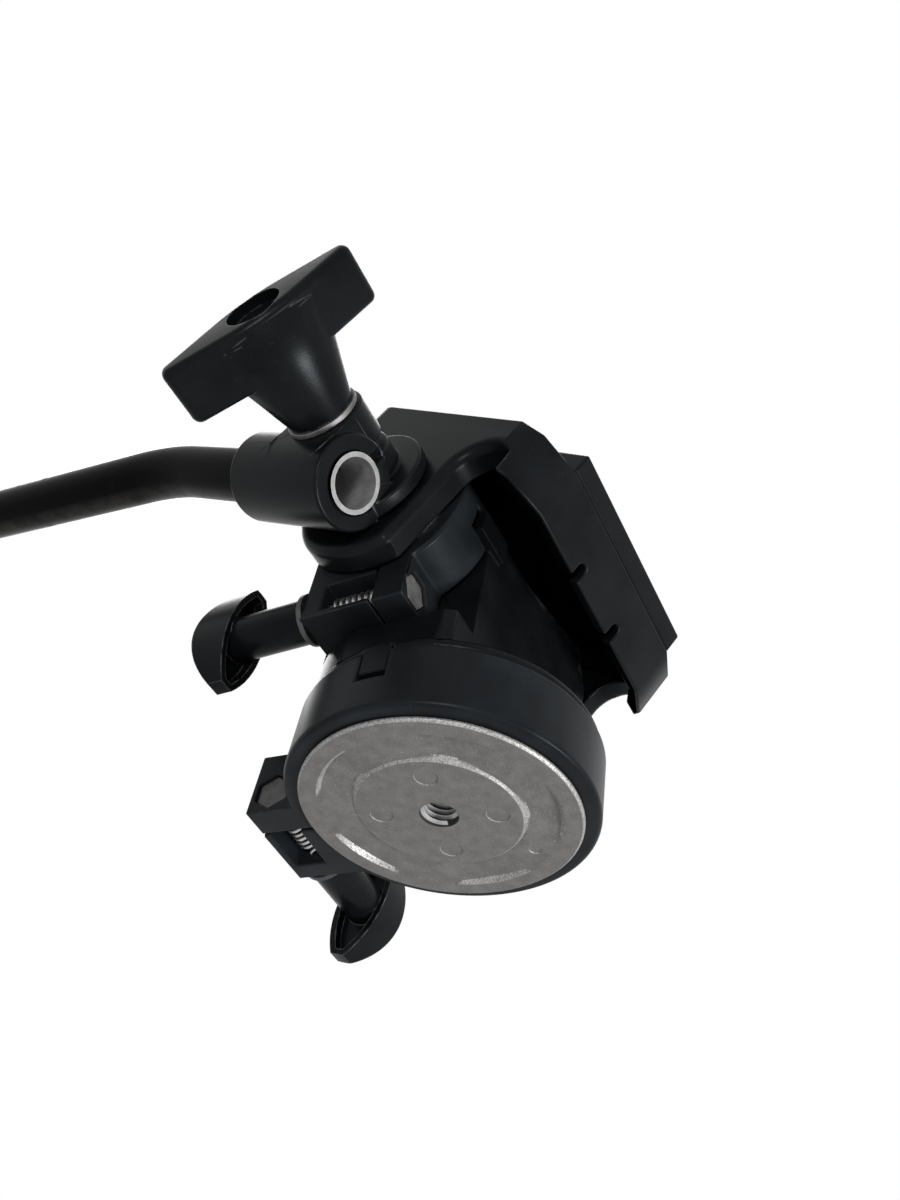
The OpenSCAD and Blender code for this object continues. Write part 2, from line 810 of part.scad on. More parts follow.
// Solid rod along the bar's path, run on by some length at both ends. The bend draws the tube a little
// thinner, so it sits inside the straight runs that lap over its ends.
module bar_path(d, more) {
  translate([0, -more, 0]) rotate([-90, 0, 0]) cylinder(d = d, h = tube_run + more + bend_lap);
  translate([0, tube_run, -bend_r]) rotate([0, 90, 0]) rotate([0, 0, 180 - bend_angle])
    rotate_extrude(angle = bend_angle) translate([bend_r, 0]) circle(d = d - bend_draw);
  after_bend() translate([0, 0, -bend_lap]) cylinder(d = d, h = tube_rest + more + bend_lap);
}

module bar_tube() {
  color("black") bar_frame() translate([bar_x, -bar_lead, -bar_drop]) difference() {
    bar_path(tube_d, 0);
    bar_path(tube_d - 2 * tube_wall, cut);
  }
}

// Frame at the end of the bend, along the tube's second run
module after_bend()
  translate([0, tube_run + bend_r * sin(bend_angle), -bend_r + bend_r * cos(bend_angle)])
    rotate([-bend_angle, 0, 0]) rotate([-90, 0, 0]) children();

module bar_grip() {
  bore = tube_d / 2;
  cap = grip_len + grip_cap;
  color("black") bar_frame() translate([bar_x, -bar_lead, -bar_drop]) after_bend()
    translate([0, 0, tube_rest - grip_len]) rotate_extrude() polygon([
      [bore, 0], [grip_r - grip_cap / 2, 0], [grip_r, grip_cap / 2], [grip_r, grip_len],
      [grip_r - grip_cap, cap], [0, cap], [0, grip_len], [bore, grip_len]]);
}

module t_knob() {
  color("black") t_frame() difference() {
    union() {
      cylinder(r1 = t_foot_r, r2 = t_neck_r, h = t_stem_h);
      translate([0, 0, t_stem_h]) cylinder(r = t_neck_r, h = t_stud_sink - t_stem_h);
      translate([0, 0, t_stem_h]) linear_extrude(t_bar_h) intersection() {
        translate([0, t_bow]) circle(r = t_bow_r);
        translate([0, -t_bow]) circle(r = t_bow_r);
        square([t_span, t_width], center = true);
      }
    }
    translate([0, 0, t_stem_h + t_bar_h - t_recess]) cylinder(r = t_recess_r, h = t_recess + cut);
    translate([0, 0, -cut]) cylinder(r = bar_stud_r, h = t_stud_sink + cut);
  }
}

// Frame of the T knob: foot of the stem on its washer, outwards along +z, bar along x
module t_frame()
  translate([t_base, tilt_back, tilt_up]) rotate([0, -90, 0]) rotate([0, 0, t_turn]) children();

module t_stud() {
  into = -cradle_half + bar_stud_depth - t_stud_short;
  color("gray") translate([t_base, 0, 0]) on_tilt_axis() {
    cylinder(r = bar_stud_r - run_fit, h = into - t_base);
    translate([0, 0, -t_stud_sink]) cylinder(r = bar_stud_r, h = t_stud_sink);
  }
}

module bar_washer() {
  color("lightgray") translate([t_base, 0, 0]) on_tilt_axis()
    ring(bar_washer_r, bar_stud_r + pass_gap, bar_washer_t);
}

base_plate();
pan_spindle();
pan_nut();
pan_slip_ring();
pan_housing();
pan_drag_drum();
pan_bush();
tilt_bushes();
pan_clamp_band();
pan_clamp_bolt();
pan_clamp_spring();
pan_clamp_washer();
tilt_clamp_band();
tilt_clamp_bolt();
tilt_clamp_spring();
tilt_clamp_washer();
pan_lock_knob();
pan_knob_nut();
tilt_lock_knob();
tilt_knob_nut();
cradle();
tilt_hub();
tilt_trunnion();
tilt_axle();
camera_plate();
quick_block();
plate_pad();
quick_lever();
lever_pin();
camera_screw();
bar_clamp();
bar_tube();
bar_grip();
t_knob();
t_stud();
bar_washer();
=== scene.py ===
# %% [markdown]
# A small pan and tilt head for a video camera, dressed for a studio picture. The packed part gives every
# shape and its place. This lesson keeps those shapes, rounds their edges as a mould or a casting would,
# and gives each finish its own grain, gloss and wear.

# %% Load the packed part
import json
import math

import bpy
from mathutils import Matrix, Vector

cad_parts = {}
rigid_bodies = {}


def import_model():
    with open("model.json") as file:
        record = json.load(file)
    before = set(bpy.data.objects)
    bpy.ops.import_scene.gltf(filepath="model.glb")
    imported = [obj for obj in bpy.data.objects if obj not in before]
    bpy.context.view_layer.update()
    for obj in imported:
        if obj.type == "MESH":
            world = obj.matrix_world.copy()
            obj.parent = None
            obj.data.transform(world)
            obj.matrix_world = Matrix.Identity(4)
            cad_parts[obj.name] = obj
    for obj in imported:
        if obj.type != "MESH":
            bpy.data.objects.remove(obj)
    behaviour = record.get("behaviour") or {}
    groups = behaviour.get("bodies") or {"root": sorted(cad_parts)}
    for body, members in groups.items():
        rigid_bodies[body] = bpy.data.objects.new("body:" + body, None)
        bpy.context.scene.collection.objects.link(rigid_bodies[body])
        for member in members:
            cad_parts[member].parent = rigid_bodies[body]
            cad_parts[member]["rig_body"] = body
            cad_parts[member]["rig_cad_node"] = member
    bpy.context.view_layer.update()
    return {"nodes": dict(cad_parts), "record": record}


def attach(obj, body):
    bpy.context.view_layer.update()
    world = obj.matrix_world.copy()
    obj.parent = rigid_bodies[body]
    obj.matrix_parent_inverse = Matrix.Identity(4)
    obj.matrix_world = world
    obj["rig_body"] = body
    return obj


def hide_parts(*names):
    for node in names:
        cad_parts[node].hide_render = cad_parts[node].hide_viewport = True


MM = 0.001
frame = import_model()
nodes = frame["nodes"]
record = frame["record"]
body_of_node = {node: body for body, group in record["behaviour"]["bodies"].items() for node in group}
slot_of_node = {row["node"]: row["material_slot"] for row in record["subparts"]}
print("pieces loaded:", len(nodes))

# %% [markdown]
# The photograph was taken from in front of the head, near its base, looking up. Its viewpoint was worked
# out from points that can be recognised on the object, so the camera is placed by its position and by the
# directions of its picture axes. Setting three directions is surer than turning a camera by eye.

# %% Camera
PICTURE_LONG_SIDE = 1200
FOCAL_PIXELS = 1090
camera_place = Vector((-184.2, -122.0, -150.2)) * MM
picture_right = Vector((0.4493, -0.8812, 0.1473))
picture_down = Vector((0.6864, 0.2350, -0.6882))
looking = Vector((0.5718, 0.4103, 0.7105))

bpy.ops.object.camera_add(location=camera_place)
camera = bpy.context.active_object
camera.name = "camera"
camera.data.lens = camera.data.sensor_width * FOCAL_PIXELS / PICTURE_LONG_SIDE
camera.data.clip_start = 0.01
camera.rotation_euler = Matrix((picture_right, -picture_down, -looking)).transposed().to_euler()
bpy.context.scene.camera = camera
print("camera lens in millimetres:", round(camera.data.lens, 1))

# %% [markdown]
# A shader is a sum of small maps. Wiring them by hand hides the thought, so one small class wraps a
# socket and lets Python's own operators add the Math nodes. The reflected forms let a plain number stand
# on the left.

# %% Sums on sockets


class Sum:
    """A value on a surface. Each operator adds one Math node."""

    def __init__(self, finish, socket):
        self.finish = finish
        self.socket = socket

    def _math(self, operation, first, second):
        made = self.finish.add("ShaderNodeMath", {"operation": operation}, {0: first, 1: second})
        return Sum(self.finish, made.outputs[0])

    def __add__(self, other):
        return self._math("ADD", self, other)

    def __radd__(self, other):
        return self._math("ADD", other, self)

    def __sub__(self, other):
        return self._math("SUBTRACT", self, other)

    def __rsub__(self, other):
        return self._math("SUBTRACT", other, self)

    def __mul__(self, other):
        return self._math("MULTIPLY", self, other)

    def __rmul__(self, other):
        return self._math("MULTIPLY", other, self)

    def limited(self):
        made = self.finish.add("ShaderNodeClamp", {}, {0: self})
        return Sum(self.finish, made.outputs[0])


print("methods of a sum:", [name for name in vars(Sum) if callable(vars(Sum)[name])])

# %% [markdown]
# A second class holds one finish: its material, its shader and the place and normal on the surface. One
# method adds any node by its type, its settings and the values of its sockets, and the others are short
# names for the maps that most finishes need, such as a noise of a given size in millimetres or a mask of
# the edges.

# %% A finish and its nodes


class Finish:
    """One procedural material. Sockets that stay the same all over are set on the shader itself."""

    def __init__(self, name, **constants):
        self.material = bpy.data.materials.new(name)
        self.material.use_nodes = True
        self.tree = self.material.node_tree
        self.shader = self.tree.nodes["Principled BSDF"]
        for socket, value in constants.items():
            self.shader.inputs[socket.replace("_", " ")].default_value = value
        given = self.add("ShaderNodeTexCoord")
        self.place = given.outputs["Object"]
        self.way = given.outputs["Normal"]

    def add(self, kind, settings=None, values=None):
        made = self.tree.nodes.new(kind)
        for key, value in (settings or {}).items():
            setattr(made, key, value)
        for key, value in (values or {}).items():
            self.join(value, made.inputs[key])
        return made

    def join(self, value, socket):
        if isinstance(value, Sum):
            value = value.socket
        if isinstance(value, bpy.types.NodeSocket):
            self.tree.links.new(value, socket)
        else:
            socket.default_value = value

    def feed(self, socket, value):
        self.join(value, self.shader.inputs[socket])

    def noise(self, size_mm, detail=3.0, place=None):
        values = {"Vector": place or self.place, "Scale": 1 / (size_mm * MM), "Detail": detail}
        return Sum(self, self.add("ShaderNodeTexNoise", {}, values).outputs["Fac"])

    def between(self, amount, first, second):
        made = self.add("ShaderNodeMix", {"data_type": "RGBA"}, {0: amount, 6: first, 7: second})
        return made.outputs[2]

    def ramp(self, value, low, high):
        made = self.add("ShaderNodeMapRange", {}, {0: value, 1: low, 2: high, 3: 0.0, 4: 1.0})
        return Sum(self, made.outputs[0])

    def edges(self, reach_mm):
        """Near 1 along an outer or inner edge, 0 on open faces."""
        bent = self.add("ShaderNodeBevel", {"samples": 6}, {"Radius": reach_mm * MM}).outputs[0]
        plain = self.add("ShaderNodeNewGeometry").outputs["Normal"]
        agree = self.add("ShaderNodeVectorMath", {"operation": "DOT_PRODUCT"}, {0: bent, 1: plain})
        return self.ramp(1 - Sum(self, agree.outputs["Value"]), 0.02, 0.16)

    def relief(self, height, depth_mm, strength=1.0):
        values = {"Height": height, "Distance": depth_mm * MM, "Strength": strength}
        self.feed("Normal", self.add("ShaderNodeBump", {}, values).outputs[0])

    def along(self, direction):
        """How far the surface faces a direction, 1 when squarely."""
        made = self.add("ShaderNodeVectorMath", {"operation": "DOT_PRODUCT"}, {0: self.way, 1: direction})
        return Sum(self, made.outputs["Value"])

    def from_z_axis(self):
        """Distance from the Z axis."""
        level = self.add("ShaderNodeVectorMath", {"operation": "MULTIPLY"}, {0: self.place, 1: (1, 1, 0)})
        made = self.add("ShaderNodeVectorMath", {"operation": "LENGTH"}, {0: level.outputs[0]})
        return made.outputs["Value"]


def grey(level, warm=0.0):
    return (level * (1 + warm), level, level * (1 - warm), 1.0)


print("methods of a finish:", [name for name in vars(Finish) if callable(vars(Finish)[name])])

# %% [markdown]
# Most of the head is black moulded plastic with a satin skin. Seen close it isn't one black: the skin has
# a fine grain and broad areas handled more are smoother. The edges are a dull grey, partly rubbed and
# partly a painted highlight. The grain is one fine noise, the handling one broad noise, and the lighter
# edge comes from how far a rounded normal leaves the face.

# %% Moulded black
COOL = -0.15
COOL_SHEEN = (0.90, 0.97, 1.0, 1.0)


def moulded_black(name, level, rough, grain_mm, wear_and_highlight, sheen=0.07):
    finish = Finish(name, Specular_IOR_Level=sheen, Specular_Tint=COOL_SHEEN)
    handled = finish.noise(14, 4)
    grain = finish.noise(grain_mm, 2)
    dust = finish.ramp(finish.noise(1.1, 5), 0.62, 0.80)
    edge = finish.edges(0.7)
    # The edges are painted a lighter grey: partly rubbed wear, partly a painted highlight along them.
    rubbed_and_highlit = (edge * finish.ramp(finish.noise(3.2, 5), 0.35, 0.70)) * wear_and_highlight
    share = finish.ramp(handled, 0.35, 0.65)
    broad = finish.between(share, grey(level * 0.7, COOL), grey(level * 1.3, COOL))
    dusty = finish.between(dust * 0.06, broad, grey(0.10))
    finish.feed("Base Color", finish.between(rubbed_and_highlit, dusty, grey(0.24)))
    finish.feed("Roughness", (rough + 0.10 * handled) - 0.12 * rubbed_and_highlit)
    finish.relief(grain + 0.5 * handled, 0.05, 0.35)
    return finish.material


body_black = moulded_black("body_black", 0.0055, 0.26, 0.55, 0.42)
band_black = moulded_black("band_black", 0.0120, 0.28, 0.45, 0.36)
block_black = moulded_black("block_black", 0.0055, 0.30, 0.50, 0.34)
knob_black = moulded_black("knob_black", 0.0055, 0.22, 0.40, 0.80)
neck_black = moulded_black("neck_black", 0.0055, 0.26, 0.55, 0.10)
# Painted shade: the cradle's inside takes a darker black with no sheen.
shaded_inner_black = moulded_black("shaded_inner_black", 0.0030, 0.75, 0.80, 0.0, sheen=0.0)
print("moulded finishes made:", sum(made.name.endswith("_black") for made in bpy.data.materials))

# %% [markdown]
# The base is a bare casting, machined flat and then used. Its level faces have dulled to a warm stained
# grey, and its skin is grainy. The sloping walls between them are coloured a brighter metal. A wall is told
# from a level face by its normal: the less it points along Z, the more of the bright metal shows. Inside the
# tripod hole the colour is near black, a painted shade.

# %% Bare cast base
HOLE_R = 4.85
HOLE_EDGE_R = 5.0


def bare_casting():
    finish = Finish("bare_casting", Metallic=0.35, Specular_IOR_Level=0.3)
    grain = finish.noise(0.45, 3)
    stain = finish.noise(3.5, 8)
    pits = finish.ramp(finish.noise(0.8, 4), 0.58, 0.72)
    level = finish.add("ShaderNodeMath", {"operation": "ABSOLUTE"}, {0: finish.along((0, 0, 1))}).outputs[0]
    wall = finish.ramp(1 - Sum(finish, level), 0.02, 0.25)
    outside_hole = finish.ramp(finish.from_z_axis(), HOLE_R * MM, HOLE_EDGE_R * MM)
    bright = wall * finish.ramp(grain, 0.30, 0.62) * outside_hole
    dull = finish.between(finish.ramp(stain, 0.34, 0.68), grey(0.122, 0.045), grey(0.165, 0.035))
    pitted = finish.between(pits * 0.30, dull, grey(0.09, 0.05))
    sparkle = finish.ramp(finish.noise(0.40, 2), 0.58, 0.72)
    speckled = finish.between(sparkle * 0.35, pitted, grey(0.42, 0.01))
    open_face = finish.between(bright * 0.70, speckled, grey(0.50, 0.01))
    # Nearer the axis than the hole's mouth the colour is near black: painted shade in the hole.
    finish.feed("Base Color", finish.between(outside_hole, grey(0.03, 0.03), open_face))
    finish.feed("Roughness", (0.50 + 0.16 * stain) - 0.18 * bright)
    finish.relief(grain + 0.8 * stain, 0.08, 0.70)
    return finish.material


cast_metal = bare_casting()
print("base finish made:", cast_metal.name)

# %% [markdown]
# The small steel pieces are plated and dull, the inner ones turned or drawn. They share one recipe, each
# with its own grey and gloss, because on the real head they differ by little more than that.

# %% Steel, alloy and bronze


def dull_metal(name, level, rough, warm=0.0, metal=1.0):
    finish = Finish(name, Metallic=metal)
    cloud = finish.noise(2.5, 4)
    scratch = finish.noise(0.35, 2)
    edge = finish.edges(0.3)
    share = finish.ramp(cloud, 0.35, 0.65)
    tone = finish.between(share, grey(level * 0.8, warm), grey(level * 1.1, warm))
    finish.feed("Base Color", finish.between(edge * 0.5, tone, grey(min(1.0, level * 1.5), warm)))
    finish.feed("Roughness", (rough + 0.16 * cloud) - 0.06 * edge)
    finish.relief(scratch, 0.03, 0.3)
    return finish.material


finish_of_slot = {
    "cast_base": cast_metal,
    "bare_alloy": dull_metal("turned_alloy", 0.55, 0.32),
    "plain_steel": dull_metal("plain_steel", 0.42, 0.36),
    # The plated grey is partly its own grey and partly painted light, lifted for the tilt bolt's head.
    "plated_steel": dull_metal("dull_plate", 0.42, 0.40, 0.01),
    "spring_steel": dull_metal("spring_wire", 0.52, 0.30),
    "bronze": dull_metal("sintered_bronze", 0.40, 0.42, 0.35),
    "black_body": body_black,
    "black_band": band_black,
    "black_block": block_black,
    "black_knob": knob_black,
}
bare_bore = dull_metal("bare_bore", 0.30, 0.45, metal=0.3)
# Darker copies of the plated finish: painted shade on the washers and the pan clamp's bolt.
shaded_washer_plate = dull_metal("shaded_washer_plate", 0.17, 0.45, 0.01)
shaded_plate = dull_metal("shaded_plate", 0.09, 0.45, 0.01)
print("slots with a metal or moulded finish:", len(finish_of_slot))

# %% [markdown]
# The bar's tube is sprayed gloss black. Paint on a drawn tube shows a slight orange peel and a few dull
# scuffs, which a clear coat with a soft wave underneath gives. The tube's side that turns down in the
# camera's view is coloured a lighter grey, a painted reflection, told by the normal. The slip ring inside is
# plain pale plastic, and the grip and the plate's pad are matt rubber.

# %% Paint, plain plastic and rubber


def gloss_paint():
    finish = Finish("gloss_paint", Coat_Roughness=0.06, Specular_IOR_Level=0.02)
    peel = finish.noise(1.6, 2)
    scuff = finish.ramp(finish.noise(4.5, 6), 0.60, 0.74)
    # Painted reflection: the side turned down in the camera's view is coloured a lighter grey.
    painted_lower_sheen = finish.ramp(finish.along(picture_down), 0.50, 0.95) * finish.ramp(finish.noise(6, 5), 0.20, 0.60)
    paint = finish.between(scuff * 0.30, grey(0.0012, COOL), grey(0.012))
    finish.feed("Base Color", finish.between(painted_lower_sheen, paint, grey(0.050, 0.06)))
    finish.feed("Roughness", 0.14 + 0.30 * scuff)
    finish.feed("Coat Weight", (0.03 - 0.02 * scuff).limited())
    finish.relief(peel, 0.04, 0.25)
    return finish.material


def pale_plastic():
    finish = Finish("pale_plastic")
    cloud = finish.noise(3, 3)
    finish.feed("Base Color", finish.between(cloud, grey(0.60, 0.04), grey(0.70, 0.03)))
    finish.feed("Roughness", 0.35 + 0.15 * cloud)
    return finish.material


def matt_rubber(name, bead_mm):
    finish = Finish(name, Specular_IOR_Level=0.35)
    bead = Sum(finish, finish.add("ShaderNodeTexVoronoi", {"feature": "SMOOTH_F1"}, {
        "Vector": finish.place, "Scale": 1 / (bead_mm * MM)}).outputs["Distance"])
    cloud = finish.noise(9, 4)
    finish.feed("Base Color", finish.between(cloud, grey(0.014), grey(0.030)))
    finish.feed("Roughness", 0.62 + 0.2 * cloud)
    finish.relief(bead, 0.25, 0.6)
    return finish.material


finish_of_slot["gloss_tube"] = gloss_paint()
finish_of_slot["slip_plastic"] = pale_plastic()
finish_of_slot["grip_rubber"] = matt_rubber("matt_rubber", 1.1)
print("slots with a finish:", len(finish_of_slot))

# %% [markdown]
# Every packed piece first takes the finish of its slot, also the pieces that are hidden inside, so that
# nothing is left in a flat colour when the head is opened or seen from another side.

# %% Dress the packed pieces
for name, thing in nodes.items():
    thing.data.materials.clear()
    thing.data.materials.append(finish_of_slot[slot_of_node[name]])
print("packed pieces dressed:", len(nodes))

# %% [markdown]
# No moulding has knife edges. Each visible piece is copied, the copy's loose triangles are joined, and a
# Bevel modifier rounds the sharp edges. Weighted normals keep the wide faces flat beside the rounds. The
# copy then stands for the packed piece, which keeps its place in the simulation. The winged knobs are
# thin and hollow, so they are only smoothed. A few pieces take a finish of their own: the pan housing has
# less rubbed and highlit edge, and the pan clamp's bolt and the washers are darker, a painted shade.

# %% Copies with rounded edges
MERGE_WITHIN = 0.003 * MM
FLAT_WITHIN = 1
ROUND_BELOW = 35
BEVEL_FROM = 40


def open_copy(node, whole_faces=False):
    """A merged copy of a packed piece, left in edit mode."""
    bpy.ops.object.select_all(action="DESELECT")
    source = nodes[node]
    source.select_set(True)
    bpy.context.view_layer.objects.active = source
    bpy.ops.object.duplicate()
    piece = bpy.context.active_object
    piece.name = node + "_finished"
    del piece["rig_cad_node"]
    del piece["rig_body"]
    piece.parent = None
    bpy.ops.mesh.customdata_custom_splitnormals_clear()
    bpy.ops.object.mode_set(mode="EDIT")
    bpy.ops.mesh.select_all(action="SELECT")
    bpy.ops.mesh.remove_doubles(threshold=MERGE_WITHIN)
    if whole_faces:
        bpy.ops.mesh.dissolve_limited(angle_limit=math.radians(FLAT_WITHIN))
    return piece


def smooth_rounds(piece, angle):
    """Smooths the rounds and lets the wide faces keep their own normals, so they stay flat."""
    bpy.ops.object.shade_smooth_by_angle(angle=math.radians(angle))
    flat = piece.modifiers.new("flat faces", "WEIGHTED_NORMAL")
    flat.mode = "FACE_AREA_WITH_ANGLE"
    flat.keep_sharp = True
    bpy.ops.object.modifier_apply(modifier=flat.name)


def take_place(piece, node):
    """Puts a piece in the place of its node, on the same body."""
    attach(piece, body_of_node[node])
    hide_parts(node)


def close_copy(piece, node):
    """Leaves edit mode, smooths the faces and puts the copy in the place of its node."""
    bpy.ops.object.mode_set(mode="OBJECT")
    smooth_rounds(piece, ROUND_BELOW)
    take_place(piece, node)
    return piece


def round_edges(piece, width_mm, steps=3):
    bpy.ops.object.mode_set(mode="OBJECT")
    bevel = piece.modifiers.new("rounded", "BEVEL")
    bevel.width = width_mm * MM
    bevel.segments = steps
    bevel.limit_method = "ANGLE"
    bevel.angle_limit = math.radians(BEVEL_FROM)
    bevel.use_clamp_overlap = False
    bpy.ops.object.modifier_apply(modifier=bevel.name)


def rounded(node, width_mm, steps=3):
    piece = open_copy(node)
    round_edges(piece, width_mm, steps)
    return close_copy(piece, node)


edge_width_mm = {
    "pan_housing": 0.5, "pan_clamp_band": 0.5, "tilt_clamp_band": 0.5, "bar_clamp": 0.8,
    "quick_block": 0.8, "camera_plate": 0.4, "plate_pad": 0.3, "quick_lever": 0.6,
    "bar_washer": 0.25, "pan_clamp_washer": 0.2, "tilt_clamp_washer": 0.2,
    "pan_clamp_bolt": 0.3, "tilt_clamp_bolt": 0.3, "bar_grip": 0.6, "camera_screw": 0.3,
}
made_pieces = {node: rounded(node, width) for node, width in edge_width_mm.items()}
for node in ("pan_lock_knob", "tilt_lock_knob"):
    made_pieces[node] = close_copy(open_copy(node), node)
# The pan clamp's bolt and the washers take the painted-shade copies of the plated finish.
own_finish = {
    "pan_housing": neck_black, "pan_clamp_bolt": shaded_plate, "pan_clamp_washer": shaded_plate,
    "tilt_clamp_washer": shaded_plate, "bar_washer": shaded_washer_plate,
}
for node, finish in own_finish.items():
    made_pieces[node].data.materials[0] = finish
print("rounded copies:", len(made_pieces))

# %% [markdown]
# The cradle's arms have a much fuller edge than the rest: their outer rim is rolled over by some
# millimetres. The copy's flat faces are made whole first, so that a bevel meets only true edges. Those of
# the rim are found by their place, on the outer faces and below the deck's side walls, and are bevelled
# with a wide round. The ordinary rounding follows for all the others. The deck's underside and the inner
# walls take a darker black without sheen: painted shade inside the cradle.

# %% Cradle
REST_TILT = math.radians(34.6)
ARM_ROLL = 3.0
WALL_ROUND = 0.7
NEAR = 0.05
tilt_axis_point = Vector((0.0, 5.8, 69.0)) * MM
level_from_rest = Matrix.Rotation(-REST_TILT, 4, "X") @ Matrix.Translation(-tilt_axis_point)
ARM_FACE = 50.3 * MM
WALL_FOOT = 23.0 * MM
PAD_REACH = 13.0 * MM
INSIDE = Vector((42.4, 36.4, 27.7)) * MM
LOOKS_DOWN = -0.5


def select_edges(piece, wanted):
    """Selects in edit mode the edges whose two ends both pass a test."""
    bpy.ops.mesh.select_all(action="DESELECT")
    bpy.ops.object.mode_set(mode="OBJECT")
    passed = [wanted(corner.co) for corner in piece.data.vertices]
    count = 0
    for line in piece.data.edges:
        line.select = all(passed[corner] for corner in line.vertices)
        count += line.select
    bpy.ops.object.mode_set(mode="EDIT")
    return count


def on_arm_rim(point):
    level = level_from_rest @ point
    away = math.hypot(level.y, level.z)
    return abs(abs(level.x) - ARM_FACE) < NEAR * MM and level.z < WALL_FOOT and away > PAD_REACH


def faces_inside(face):
    level = level_from_rest @ face.center
    facing = level_from_rest.to_3x3() @ face.normal
    within = abs(level.x) < INSIDE.x and abs(level.y) < INSIDE.y and level.z < INSIDE.z
    return within and (facing.dot(level) < 0.0 or facing.z < LOOKS_DOWN)


cradle = open_copy("cradle", whole_faces=True)
bpy.ops.mesh.select_mode(type="EDGE")
rim_edges = select_edges(cradle, on_arm_rim)
bpy.ops.mesh.bevel(offset=ARM_ROLL * MM, segments=6, affect="EDGES", clamp_overlap=False)
round_edges(cradle, WALL_ROUND)
close_copy(cradle, "cradle")
# Painted shade: the deck's underside and the inner walls get the darker black without sheen.
cradle.data.materials.append(shaded_inner_black)
for face in cradle.data.polygons:
    face.material_index = int(faces_inside(face))
print("rim edges rolled over:", rim_edges)

# %% [markdown]
# The bar's tube is drawn, bent and sprayed, and then cut, so its bore and its cut end are bare. It's made
# again from one circle: extruded along the first run, spun about the bend's centre, and extruded along
# the second run. A Solidify modifier gives it a wall and puts the bare finish on the inside and on the
# end.

# %% Bar tube with a bare end
BAR_DROP = math.radians(6.0)
BAR_RISE = REST_TILT - BAR_DROP
TUBE_START = Vector((-63.1, -13.1, -11.0)) * MM
TUBE_R = 7.65
TUBE_WALL = 1.2
FIRST_RUN = 68.0
SECOND_RUN = 205.0
BEND_R = 80.0
BEND = math.radians(19.0)
bar_frame = Matrix.Translation(tilt_axis_point) @ Matrix.Rotation(BAR_RISE, 4, "X")
tube_frame = bar_frame @ Matrix.Translation(TUBE_START)


def set_in_frame(piece, place):
    """Moves a piece that was modelled at the origin to its frame and leaves no transform on it."""
    piece.matrix_world = place
    bpy.ops.object.select_all(action="DESELECT")
    piece.select_set(True)
    bpy.context.view_layer.objects.active = piece
    bpy.ops.object.transform_apply(location=True, rotation=True, scale=True)


def stand_for(piece, node, smooth_to):
    """Smooths a new piece, gives it a finish if it has none and puts it in the place of its node."""
    bpy.ops.object.shade_smooth_by_angle(angle=math.radians(smooth_to))
    if not piece.data.materials:
        piece.data.materials.append(finish_of_slot[slot_of_node[node]])
    take_place(piece, node)


def extrude(x, y, z):
    bpy.ops.mesh.extrude_region_move(TRANSFORM_OT_translate={"value": (x * MM, y * MM, z * MM)})


bpy.ops.object.select_all(action="DESELECT")
bpy.ops.mesh.primitive_circle_add(vertices=64, radius=TUBE_R * MM, rotation=(math.pi / 2, 0.0, 0.0))
tube = bpy.context.active_object
tube.name = "bar_tube_finished"
bpy.ops.object.transform_apply(location=False, rotation=True, scale=False)
bpy.ops.object.mode_set(mode="EDIT")
bpy.ops.mesh.select_all(action="SELECT")
extrude(0, FIRST_RUN, 0)
bend_centre = (0.0, FIRST_RUN * MM, -BEND_R * MM)
bpy.ops.mesh.spin(steps=16, angle=BEND, center=bend_centre, axis=(1.0, 0.0, 0.0))
extrude(0, SECOND_RUN * math.cos(BEND), -SECOND_RUN * math.sin(BEND))
bpy.ops.mesh.select_all(action="SELECT")
bpy.ops.mesh.remove_doubles(threshold=MERGE_WITHIN)
bpy.ops.mesh.normals_make_consistent(inside=False)
bpy.ops.object.mode_set(mode="OBJECT")
wall = tube.modifiers.new("wall", "SOLIDIFY")
wall.thickness = TUBE_WALL * MM
wall.offset = -1.0
wall.material_offset = 1
wall.material_offset_rim = 1
tube.data.materials.append(finish_of_slot["gloss_tube"])
tube.data.materials.append(bare_bore)
bpy.ops.object.modifier_apply(modifier=wall.name)
set_in_frame(tube, tube_frame)
stand_for(tube, "bar_tube", ROUND_BELOW)
print("tube reaches:", [round(value / MM, 1) for value in tube.dimensions])

# %% [markdown]
# The T knob is one moulding. Its bar is a long rhombus with cut tips: a four-sided cylinder stretched
# along X and cut by two planes. Its stem starts round and spreads into the bar, which is a circle
# extruded in steps, each step stretched more along the bar than across it. Booleans join the two and cut
# the recess and the stud's bore.

# %% T knob
T_BASE = -76.6
T_TURN = math.radians(126.4)
T_ROUND = 2.0
T_SMOOTH_BELOW = 40
T_HALF_SPAN = 26.5
T_HALF_WIDTH = 9.8
T_TAPER_POINT = 34.0
T_BAR_FROM = 15.2
T_TOP = 30.5
T_SOFT_MIDDLE = 9.0
T_RECESS_R = 7.2
T_RECESS = 3.0
STUD_R = 3.0
STUD_SINK = 19.0
BEYOND = 1.0
STEM_RINGS = [(0.0, 8.8, 8.8), (14.0, 13.0, 10.6), (27.0, 16.6, 9.4), (29.4, 12.0, 7.6)]
t_foot = tilt_axis_point + Vector((T_BASE * MM, 0.0, 0.0))
t_turned = Matrix.Rotation(-math.pi / 2, 4, "Y") @ Matrix.Rotation(T_TURN, 4, "Z")
t_frame = Matrix.Translation(t_foot) @ t_turned


def boolean(piece, tool, operation):
    bpy.context.view_layer.objects.active = piece
    made = piece.modifiers.new(operation, "BOOLEAN")
    made.object = tool
    made.operation = operation
    made.solver = "EXACT"
    bpy.ops.object.modifier_apply(modifier=made.name)
    bpy.data.objects.remove(tool)


def cylinder(radius, low, high, sides=64):
    bpy.ops.object.select_all(action="DESELECT")
    middle = (0.0, 0.0, (low + high) / 2 * MM)
    bpy.ops.mesh.primitive_cylinder_add(
        vertices=sides, radius=radius * MM, depth=(high - low) * MM, location=middle)
    bpy.ops.object.transform_apply(location=True, rotation=False, scale=False)
    return bpy.context.active_object


